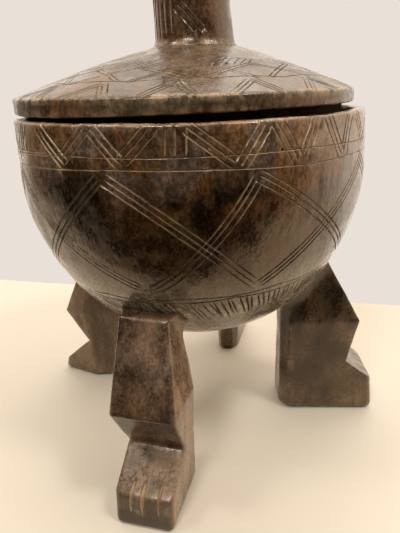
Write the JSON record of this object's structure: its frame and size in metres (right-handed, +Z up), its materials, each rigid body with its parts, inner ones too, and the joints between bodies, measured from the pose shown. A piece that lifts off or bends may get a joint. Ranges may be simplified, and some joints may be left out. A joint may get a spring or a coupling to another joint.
{
  "type": "lidded bowl",
  "caption": "Round carved wooden bowl on bent legs with carved feet, closed by a domed lid with a post handle. The lid lifts straight off.",
  "frame": {"origin": "on the floor, on the bowl's axis, in the middle of the feet", "axes": "+Z up along the bowl's axis, -Y towards the front foot, +X towards the right foot"},
  "size_m": [0.2848, 0.284, 0.3478],
  "materials": {
    "bowl_wood": "satin, smoke-darkened and worn",
    "leg_wood": "satin, mottled and worn",
    "lid_wood": "satin, dusty and worn"
  },
  "bodies": {
    "vessel": {"bowl": "bowl_wood", "leg_front": "leg_wood", "leg_right": "leg_wood", "leg_back": "leg_wood", "leg_left": "leg_wood"},
    "cover": {"lid": "lid_wood", "lid_handle": "lid_wood"}
  },
  "joints": [
    {"name": "lid_lift", "type": "slide", "parent": "vessel", "child": "cover", "axis": [0, 0, 1], "range_m": [0, 0.15]}
  ]
}
